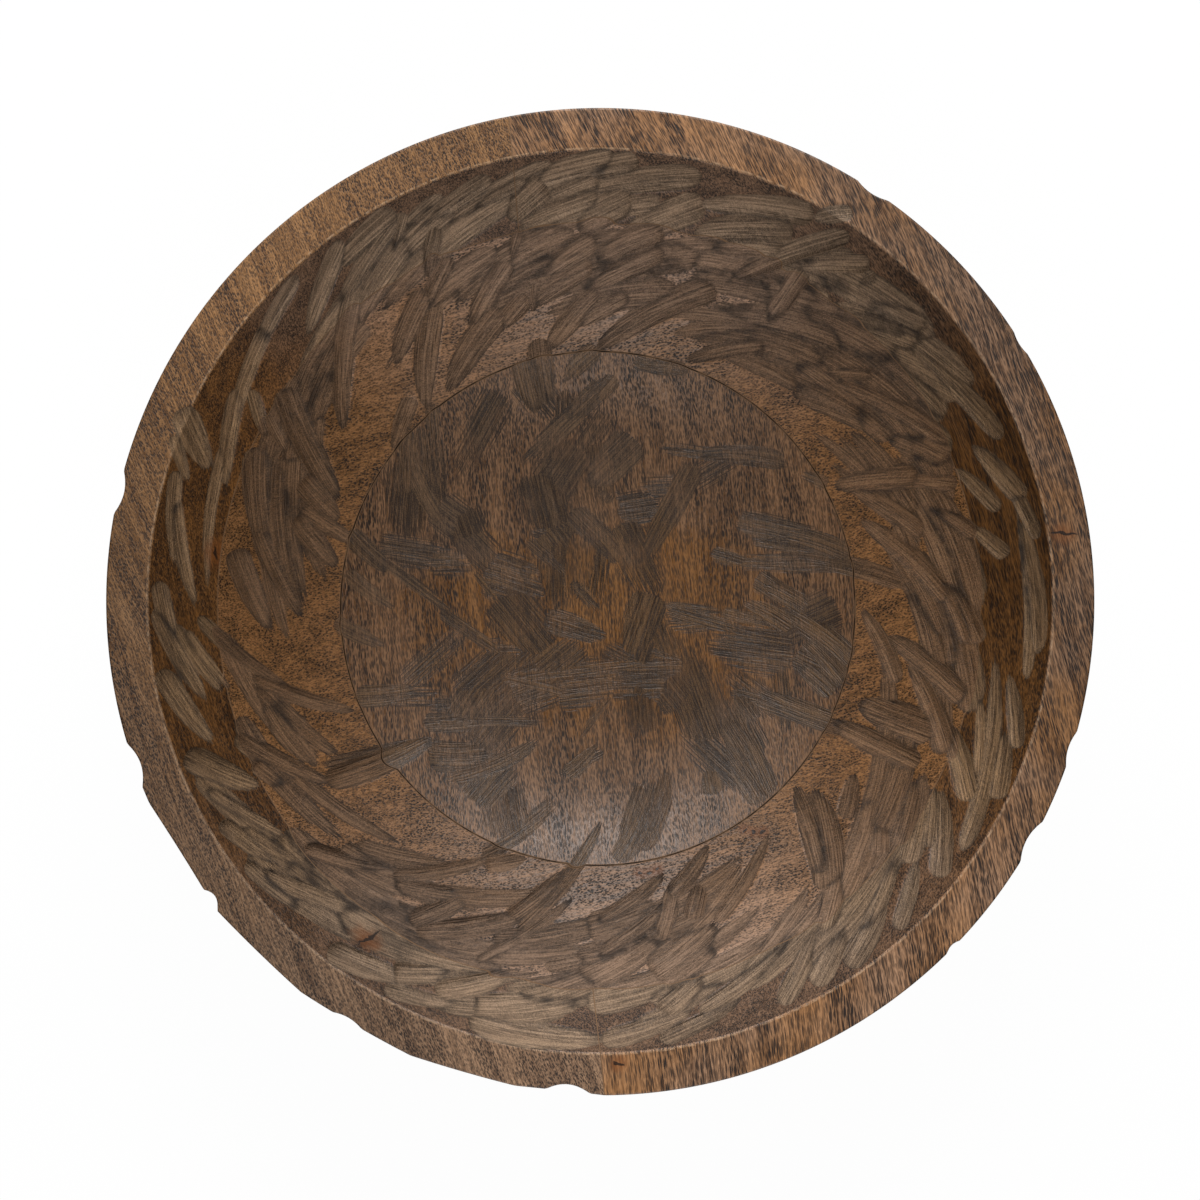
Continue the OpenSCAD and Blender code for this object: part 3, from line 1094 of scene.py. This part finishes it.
def knotted(bench, where, colour, rows):
    """A colour with knots or pits painted into it."""
    for row in rows:
        spot, slit = knot_masks(bench, where, row)
        colour = blend(bench, spot * SPOT_SHARE, colour, seen(REDDISH))
        colour = blend(bench, slit * SLIT_SHARE, colour, seen(SLIT_DARK))
    return colour


print(len(LEFT_KNOTS) + len(RIGHT_KNOTS), "knots", len(PITS), "pits")

# %% [markdown]
# The grain is made on axes that lie along the board, across it and up through it, in millimetres. The
# axes wander, so that no line of grain is straight. Bands are the years' growth, streaks are thinner
# and fibres finest, and the pores lie among them in two sizes.

# %% Grain of a board
WANDER_SPAN = (60, 18, 18)
WANDER_REACH = (0, 6, 6)
BAND_SPAN = (90, 6, 6)
BAND_EDGE = (0.35, 0.65)
STREAK_SPAN = (20, 0.6, 1.2)
FIBRE_SPAN = (2.2, 0.36, 0.7)
FINE_EDGE = (0.42, 0.58)
PORE_TALL = 1.7
LARGE_PORES = 0.95
SMALL_ROOM = (0.6, 0.7, 1.2)
SMALL_FILL = 0.83
SMALL_PORES = 0.8
SMALL_DARK = 0.75
PORES_IN_BANDS = 0.65
MIX = {"bands": 0.3, "streak": 0.4, "fibre": 0.3}


def board_pores(bench, board, tube):
    """1 in the pores of a board, large and small. The tube is the room of a pore and its fill."""
    long, wide, fill = tube
    large = pores(bench, board, (long, wide, wide * PORE_TALL), fill, LARGE_PORES)
    small_room = (long * SMALL_ROOM[0], wide * SMALL_ROOM[1], wide * SMALL_ROOM[2])
    small = pores(bench, board, small_room, fill * SMALL_FILL, SMALL_PORES)
    return large.most(small * SMALL_DARK)


def grain_of(bench, where, turn_bend, tube):
    """The patterns of a board, by the turn of its grain in degrees, the grain's bend and the pores."""
    turned_back = (0, 0, -math.radians(turn_bend[0]))
    sockets = {"Vector": where, "Scale": (1 / MM,) * 3, "Rotation": turned_back}
    board = bench.add("ShaderNodeMapping", {"vector_type": "POINT"}, sockets)
    along, across, up = board.parts()
    board = bench.joined(along, across - along * along * turn_bend[1], up)
    wander = noise(bench, board, WANDER_SPAN, out="Color")
    wander = bench.vector("SUBTRACT", wander, (NOISE_MEAN,) * 3)
    board = bench.vector("MULTIPLY_ADD", wander, WANDER_REACH, board)
    bands = noise(bench, board, BAND_SPAN, BUSY).ease(*BAND_EDGE)
    streak = noise(bench, board, STREAK_SPAN).ease(*FINE_EDGE)
    fibre = noise(bench, board, FIBRE_SPAN, SMOOTH).ease(*FINE_EDGE)
    dark = PORES_IN_BANDS + (1 - PORES_IN_BANDS) * (1 - bands)
    return {
        "along": along,
        "across": across,
        "streak": streak,
        "fibre": fibre,
        "pores": board_pores(bench, board, tube) * dark,
        "mix": bands * MIX["bands"] + streak * MIX["streak"] + fibre * MIX["fibre"],
    }


def grained(bench, grain, colours, saturation):
    """The colour of smooth wood, between its deep and its pale colour, with the pores in it."""
    pale, deep, pore = (seen(code) for code in colours)
    smooth = blend(bench, grain["mix"], deep, pale)
    return tinted(bench, blend(bench, grain["pores"], smooth, pore), saturation)


print("grain ready")

# %% [markdown]
# The rim's band is sanded flat and is lighter than the wall below it. Its inner edge has a pale line
# in places, which stands for wear and for a painted highlight along that edge.

# %% Sanded band
BAND_FROM_TO = (BOWL_H - 0.5 * MM, BOWL_H - 0.2 * MM)
WORN_EDGE_HIGHLIGHT = "c0a080"
WORN_HALF = 0.45 * MM
WORN_CORE = WORN_HALF / 3
WORN_SPAN = 2 * MM
WORN_PLACES = (0.35, 0.7)
WORN_SHARE = 0.45


def sanded(bench, where, top, wall_colour, band_colour):
    """The wall's colour below the band, the band's on top, and its inner edge, pale with wear and a
    painted highlight.
    """
    colour = blend(bench, top, wall_colour, band_colour)
    x, y, _ = where.parts()
    off_edge = (x * x + y * y).apply("SQRT") - (HOLLOW_R + WORN_HALF)
    worn_highlight = off_edge.apply("ABSOLUTE").ease(WORN_HALF, WORN_CORE)
    worn_highlight = worn_highlight * top * cloud(bench, where, WORN_SPAN, BUSY).ease(*WORN_PLACES)
    # wear and painted highlight: a pale line along the band's inner edge
    return blend(bench, worn_highlight * WORN_SHARE, colour, seen(WORN_EDGE_HIGHLIGHT))


print("band ready")

# %% [markdown]
# Each cut shows the track of the gouge: fine pale lines that run along the mark, dark scores among
# them and grit. The pale of the lines is partly painted highlight on their ridges. They lie on the
# trail that the carving stored, so they follow each mark, and the number of the mark is the trail's
# third part, so no two marks have the same lines.

# %% Cuts of the gouge
LINE_SPAN = (0.42 * MM, 24 * MM, 0.37)
LINE_EDGE = (0.42, 0.6)
SCORE_ROOM = (0.62 * MM, 8 * MM, 0.37)
SCORE_FILL = 0.46
SCORE_SHARE = 0.9
GRIT_SPAN = 0.33 * MM
GRIT_EDGE = (0.4, 0.6)
FRESH_FROM_TO = (0.02, 0.1)
CUT_FROM_TO = (-0.03 * MM, 0.05 * MM)
# the lines' share pulls a cut toward its pale colour, partly as painted highlight on their ridges
CUT_MIX = {"lines": 0.42, "grit": 0.35, "streak": 0.15, "tone": 0.6}
CUT_MIX_LEAST = -0.3
PORES_IN_CUTS = 0.25
SCORES_IN_CUTS = 0.42
CUT_WARMTH = 0.33
CUT_WARMTH_GAIN = 0.8


def attribute(bench, name, out):
    return bench.add("ShaderNodeAttribute", {"attribute_name": name}, out=out)


def track_of(bench, where, ragged):
    """The track of the gouge, and 1 where it has cut. Ragged is how far the ends of its lines stray."""
    trail = attribute(bench, "trail", "Vector")
    tone = attribute(bench, "tone", "Fac")
    lines = noise(bench, trail, LINE_SPAN).ease(*LINE_EDGE)
    frayed = attribute(bench, "cut", "Vector").parts()[0] - lines * (ragged * MM)
    return {
        "tone": tone,
        "lines": lines,
        "scores": pores(bench, trail, SCORE_ROOM, SCORE_FILL, SCORE_SHARE),
        "grit": cloud(bench, where, GRIT_SPAN, SMOOTH).ease(*GRIT_EDGE),
        "gouged": frayed.ease(*CUT_FROM_TO) * tone.ease(*FRESH_FROM_TO),
    }


def cut_colour(bench, grain, track, colours, pore, saturation):
    """The colour of the wood in a cut, pale and deep by the tool's track, and warm where the board is."""
    pale, deep = (seen(code) for code in colours)
    parts = {**track, "streak": grain["streak"]}
    mix = sum(parts[name] * share for name, share in CUT_MIX.items()) + CUT_MIX_LEAST
    dark = (grain["pores"] * PORES_IN_CUTS).most(track["scores"] * SCORES_IN_CUTS)
    colour = blend(bench, dark, blend(bench, mix, deep, pale), seen(pore))
    return tinted(bench, colour, CUT_WARMTH + saturation * CUT_WARMTH_GAIN)


print("cuts' colours ready")

# %% [markdown]
# A board's wood puts these together: smooth wood, the band if it has one, the cuts over them, a dark
# crease of painted shade along each cut's edge, and the knots. At last the whole is made darker or
# lighter across the board: painted shade on the side walls and painted light towards the far and near
# ends, with a drift of tone along the board. The tool's lines and the pores also stand out a little as
# bump, which is too fine for the mesh.

# %% Wood of a board
SHADE_ACROSS_FROM_TO = (70, 135)
STAIN_SPAN = 14 * MM
STAIN_EDGE = (0.4, 0.65)
CREASE_SHADE_SPAN = 5 * MM
CREASE_SHADE_EDGE = (0.35, 0.6)
CREASE_SHADE_LEAST = 0.35
CREASE_SHADE_MORE = 0.55
STREAK_ROUGH = 0.1
PORE_ROUGH = 0.2
HEIGHTS = {"lines": 0.12, "grit": 0.05, "scores": -0.14}
FIBRE_HEIGHT = 0.02
PORE_HEIGHT = -0.05
PLAIN_BOARD = {"middle": 1.0, "edges": 1.0, "lean": 0.0, "drift": 0.0, "band": None, "knots": ()}


def painted_shade_level(grain, board, top):
    """Painted shade and light: darker or lighter from the board's middle line to its edges, and drifting
    along its length.
    """
    off_middle = (grain["across"] + board["lean"]).apply("ABSOLUTE").ease(*SHADE_ACROSS_FROM_TO)
    level = board["middle"] + off_middle * (board["edges"] - board["middle"])
    drift = board["drift"]
    if top:
        drift = drift + top * (board["band_drift"] - drift)
    return level * (1 + grain["along"] * drift)


def wood(board):
    """The material of one board, from its row of values."""
    board = {**PLAIN_BOARD, **board}
    material, bench = bare_material(board["name"])
    where = bench.add("ShaderNodeTexCoord", out="Object")
    grain = grain_of(bench, where, board["grain"], board["tube"])
    saturation = board["warmth"](bench, where)
    colour = grained(bench, grain, board["smooth"], saturation)
    pore = board["smooth"][2]
    top = None
    if board["band"]:
        top = where.parts()[2].ease(*BAND_FROM_TO)
        band = grained(bench, grain, board["band"], board["band_warmth"](bench, where))
        colour = sanded(bench, where, top, colour, band)
    track = track_of(bench, where, board["ragged"])
    gouged = track["gouged"]
    stained = cloud(bench, where, STAIN_SPAN).ease(*STAIN_EDGE)
    in_cut = cut_colour(bench, grain, track, board["cut"], pore, saturation)
    colour = blend(bench, gouged * (1 - stained * board["worn_off"]), colour, in_cut)
    broken_shade = CREASE_SHADE_LEAST + cloud(bench, where, CREASE_SHADE_SPAN).ease(*CREASE_SHADE_EDGE) * CREASE_SHADE_MORE
    # painted shade: the pore colour darkens the crease along each cut's edge, broken up by noise
    colour = blend(bench, attribute(bench, "crease", "Fac") * gouged * broken_shade, colour, seen(pore))
    colour = knotted(bench, where, colour, board["knots"])
    # painted shade and light: the side walls darker and the far and near ends lighter, with a drift along
    # the board
    colour = tinted(bench, colour, value=painted_shade_level(grain, board, top))
    shine, polish, cut_polish, relief = board["gloss"]
    rough = polish + gouged * (cut_polish - polish)
    rough = rough + grain["streak"] * STREAK_ROUGH + grain["pores"] * PORE_ROUGH
    height = sum(track[name] * share for name, share in HEIGHTS.items()) * gouged
    height = (height + grain["fibre"] * FIBRE_HEIGHT + grain["pores"] * PORE_HEIGHT) * MM
    bump = bench.add("ShaderNodeBump", sockets={"Strength": relief, "Distance": 1.0, "Height": height})
    sockets = {"Base Color": colour, "Roughness": rough, "Specular IOR Level": shine, "Normal": bump}
    skin = bench.add("ShaderNodeBsdfPrincipled", sockets=sockets)
    bench.add("ShaderNodeOutputMaterial", sockets={"Surface": skin}, out=None)
    return material


print("wood ready")

# %% [markdown]
# The four boards differ in the turn of their grain, in the length of their pores, in their colours and
# warmth, in the painted shade and light that middle, edges and lean give them, and in a drift of tone
# along them. Colours run from pale to deep, then the pores'. Gloss gives the shine, how rough the
# smooth wood and the cuts are, and how much the grain stands out. The floor is worn smoother than the
# walls.

# %% The four boards
WALL = ("7a5739", "392516", "180f08")
WALL_CUT = ("9c8269", "33261a")
WAXED = (0.36, 0.36, 0.56, 1.0)
WORN_SMOOTH = (0.42, 0.27, 0.34, 0.5)
RIM_BOARD = {
    "smooth": WALL, "cut": WALL_CUT, "ragged": 0.2, "worn_off": 0.15, "gloss": WAXED, "warmth": grey_sheen_at_ends,
}
# middle, edges and lean set painted shade on the side walls and painted light at the far and near ends;
# drift shifts tone along the board
BOARDS = {
    "base_board": {
        "name": "base_wood", "grain": (95, 0), "tube": (2.6, 0.5, 0.6), "warmth": worn_middle_and_sheen,
        "smooth": ("8c6747", "523b2a", "180f08"), "cut": ("785f48", "281c13"),
        "ragged": 0.1, "worn_off": 0.35, "gloss": WORN_SMOOTH,
    },
    "middle_ring": {
        "name": "middle_wood", "grain": (13, 0), "tube": (1.1, 0.56, 0.56), "warmth": grey_sheen_at_ends,
        "smooth": ("a27957", "5b412b", "160e08"), "cut": ("927660", "34261a"),
        "ragged": 0.12, "worn_off": 0.15, "gloss": WAXED,
        "middle": 0.84, "edges": 1.32, "lean": 8.0, "drift": 9e-4, "knots": PITS,
    },
    "rim_board_left": {
        **RIM_BOARD, "name": "rim_wood_left", "grain": (112, 0), "tube": (1.25, 0.46, 0.6),
        "band": ("946f4c", "523824", "22160e"), "band_warmth": far_end, "knots": LEFT_KNOTS,
        "middle": 1.18, "edges": 0.76, "drift": 5e-4, "band_drift": -7e-4,
    },
    "rim_board_right": {
        **RIM_BOARD, "name": "rim_wood_right", "grain": (108, 6.2e-4), "tube": (4.4, 0.52, 0.6),
        "band": ("9c7452", "4a3220", "1a100a"), "band_warmth": all_over, "knots": RIGHT_KNOTS,
        "middle": 1.18, "edges": 0.8, "drift": 8e-4, "band_drift": -6e-4,
    },
}
WOODS = {node: wood(board) for node, board in BOARDS.items()}
print(len(WOODS), "woods")

# %% [markdown]
# The glue shows as a thin line. Round the floor the film is dark in its middle, and elsewhere it is
# almost the colour of the wood. One material serves all four films: it is dark only near the height of
# the lower glue line.

# %% Glue
DARK_GLUE_FROM_TO = (0.051 * MM, 0.119 * MM)
GLUE_SPAN = 4 * MM
GLUE_BREAKS = (0.42, 0.66)
GLUE_DARKS = ("1c130c", "54402f")
GLUE_BROWNS = ("604a37", "80644b")
GLUE_ROUGH = 0.55
GLUE_ROUGH_MORE = 0.3
GLUE_SHINE = 0.1


def dried_glue():
    material, bench = bare_material("dried_glue")
    where = bench.add("ShaderNodeTexCoord", out="Object")
    patches = cloud(bench, where, GLUE_SPAN, BUSY)
    dark = blend(bench, patches.ease(*GLUE_BREAKS), *(seen(code) for code in GLUE_DARKS))
    brown = blend(bench, patches, *(seen(code) for code in GLUE_BROWNS))
    off_middle = where.parts()[2] - (LOWER_GLUE[0].z + LOWER_GLUE[1].z) / 2
    beside = off_middle.apply("ABSOLUTE").ease(*DARK_GLUE_FROM_TO)
    sockets = {
        "Base Color": blend(bench, beside, dark, brown),
        "Roughness": patches * GLUE_ROUGH_MORE + GLUE_ROUGH,
        "Specular IOR Level": GLUE_SHINE,
    }
    skin = bench.add("ShaderNodeBsdfPrincipled", sockets=sockets)
    bench.add("ShaderNodeOutputMaterial", sockets={"Surface": skin}, out=None)
    return material


GLUE = dried_glue()
print("glue ready")

# %% [markdown]
# Each carved piece now stands in for the node of the frame that it was sawn for, which is hidden,
# takes the material made for that node, and rides on the one body that the bowl has.

# %% Dress the pieces
for node, piece in pieces.items():
    piece.data.materials.clear()
    piece.data.materials.append(WOODS.get(node, GLUE))
    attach(piece, "root")
    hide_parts(node)
print("dressed", len(pieces), "pieces")

# %% [markdown]
# The bowl stands on white paper. To the camera and in reflections the paper is almost plain white,
# and the little that is left of its lit side keeps the bowl's soft shadow.

# %% Floor
FLOOR_SIDE = 6.0
PLAIN_WHITE = 0.97
WHITE = (1, 1, 1, 1)
PAPER = (0.9, 0.9, 0.9, 1)
corner = FLOOR_SIDE / 2
corners = [(-corner, -corner, 0), (corner, -corner, 0), (corner, corner, 0), (-corner, corner, 0)]
floor_mesh = bpy.data.meshes.new("floor")
floor_mesh.from_pydata(corners, [], [(0, 1, 2, 3)])
floor = bpy.data.objects.new("floor", floor_mesh)
bpy.context.collection.objects.link(floor)
paper, bench = bare_material("white_paper")
ray = bench.add("ShaderNodeLightPath", out="Is Camera Ray")
direct = ray.most(ray.also("Is Glossy Ray")).most(ray.also("Is Transmission Ray"))
plain = bench.add("ShaderNodeEmission", sockets={"Color": WHITE, "Strength": 1.0})
lit = bench.add("ShaderNodeBsdfDiffuse", sockets={"Color": PAPER})
skin = bench.add("ShaderNodeMixShader", sockets={0: direct * PLAIN_WHITE, 1: lit, 2: plain})
bench.add("ShaderNodeOutputMaterial", sockets={"Surface": skin}, out=None)
floor_mesh.materials.append(paper)
floor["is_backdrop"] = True
print("floor", FLOOR_SIDE)

# %% [markdown]
# Two long soft boxes stand low over the far and the near side, so the left and right walls stay dark.
# Two smaller ones hang higher on the same sides, and lay a grey sheen on the bowl's floor. A little
# light comes from all round.

# %% Light
BOX_FAR = 1.2
BOXES = [
    {"name": "far_box", "zenith": 70, "side": 1, "power": 18.6, "size": (1.2, 0.7)},
    {"name": "near_box", "zenith": 66, "side": -1, "power": 8.8, "size": (1.0, 0.6)},
    {"name": "high_far_box", "zenith": 36, "side": 1, "power": 7.0, "size": (0.7, 0.4)},
    {"name": "high_near_box", "zenith": 30, "side": -1, "power": 1.4, "size": (0.5, 0.25)},
]
WORLD_LEVEL = 0.08
world = bpy.data.worlds.new("studio")
bpy.context.scene.world = world
world.use_nodes = True
world.node_tree.nodes["Background"].inputs["Strength"].default_value = WORLD_LEVEL
world.node_tree.nodes["Background"].inputs["Color"].default_value = WHITE
for row in BOXES:
    lamp = bpy.data.lights.new(row["name"], "AREA")
    lamp.shape = "RECTANGLE"
    lamp.size, lamp.size_y = row["size"]
    lamp.energy = row["power"]
    box = bpy.data.objects.new(row["name"], lamp)
    zenith = math.radians(row["zenith"])
    reach = Vector((0, row["side"] * math.sin(zenith), math.cos(zenith))) * BOX_FAR
    box.location = Vector((0, 0, BOWL_H)) + reach
    box.rotation_euler = (-reach).to_track_quat("-Z", "Y").to_euler()
    bpy.context.collection.objects.link(box)
print(len(BOXES), "soft boxes")

# %% [markdown]
# The looks are not meant to change the object's size, so the dressed bowl's box is printed here, as
# the frame's box was printed at the start.

# %% Size of the dressed bowl
bpy.context.view_layer.update()
low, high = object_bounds()
print("visual box", [round(v, 4) for v in (*low, *high)])
